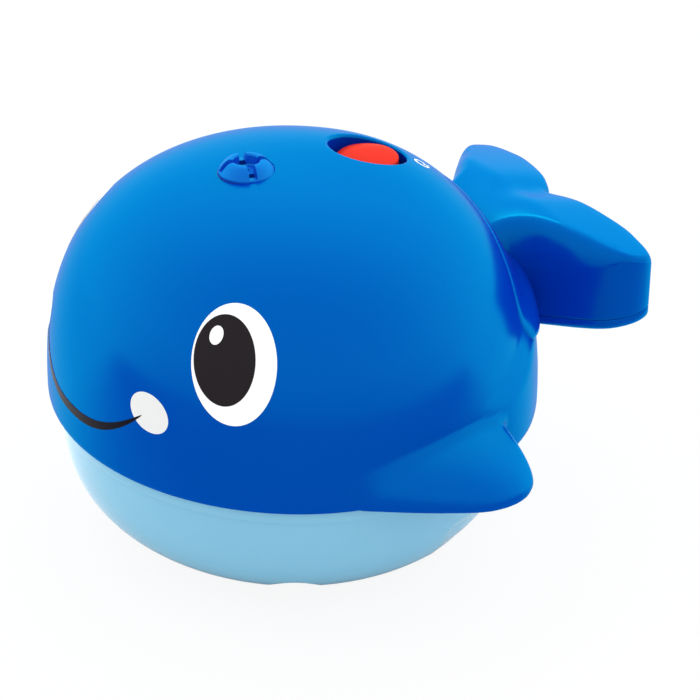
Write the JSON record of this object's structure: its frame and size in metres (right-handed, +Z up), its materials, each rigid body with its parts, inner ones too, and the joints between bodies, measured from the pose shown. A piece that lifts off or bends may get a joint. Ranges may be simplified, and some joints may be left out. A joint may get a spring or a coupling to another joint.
{
  "type": "bath toy",
  "caption": "Hard whale-shaped bath toy with a battery pump that squirts water from a spout on its dome when a push button is pressed.",
  "frame": {"origin": "middle of the flat resting face under the hull, below the middle of the dome", "axes": "+Z up through the dome, nose toward -Y, tail toward +Y, fins along X"},
  "size_m": [0.1858, 0.174, 0.1206],
  "materials": {
    "blue_shell": "glossy",
    "pale_hull": "glossy",
    "red_button": "glossy",
    "white_plastic": "satin",
    "black_plastic": "satin",
    "grey_rubber": "matte",
    "black_rubber": "matte",
    "clear_tube": "satin",
    "screw_steel": "satin",
    "contact_metal": "bright",
    "cell_metal": "satin",
    "green_board": "satin",
    "red_wire": "satin",
    "black_wire": "satin"
  },
  "bodies": {
    "whale": {"upper_shell": "blue_shell", "lower_hull": "pale_hull", "hull_seal": "grey_rubber", "shell_screws": "screw_steel", "tail_top": "blue_shell", "tail_cover": "blue_shell", "tail_screws": "screw_steel", "spout_cap": "blue_shell", "spout_seal": "black_rubber", "spout_cup": "pale_hull", "water_tube": "clear_tube", "pump_housing": "black_plastic", "pump_cover": "black_plastic", "inlet_strainer": "black_plastic", "motor_can": "screw_steel", "motor_clip": "black_plastic", "button_spring": "screw_steel", "stem_seal": "black_rubber", "switch_body": "black_plastic", "circuit_board": "green_board", "board_screws": "screw_steel", "battery_cells": "cell_metal", "contact_springs": "contact_metal", "contact_plates": "contact_metal", "bay_lid": "pale_hull", "power_wires": "red_wire", "motor_wires": "black_wire"},
    "button": {"button_cap": "red_button", "switch_plunger": "white_plastic"},
    "rotor": {"motor_shaft": "screw_steel", "impeller": "white_plastic"},
    "door": {"battery_door": "pale_hull", "door_seal": "black_rubber"},
    "door_fastener": {"door_screw": "screw_steel"}
  },
  "joints": [
    {"name": "button_press", "type": "slide", "parent": "whale", "child": "button", "axis": [0, 0, -1], "range_m": [0, 0.002], "stiffness_N_per_m": 1000, "deforming": ["button_spring"]},
    {"name": "rotor_spin", "type": "hinge", "parent": "whale", "child": "rotor", "pos_m": [0, -0.036, 0.03], "axis": [0, 0, 1], "continuous": true},
    {"name": "door_lift", "type": "slide", "parent": "whale", "child": "door", "axis": [0, 0, -1], "range_m": [0, 0.03]},
    {"name": "door_screw_turn", "type": "hinge", "parent": "door", "child": "door_fastener", "pos_m": [0.0315, 0.002, 0.005], "axis": [0, 0, 1], "continuous": true}
  ]
}
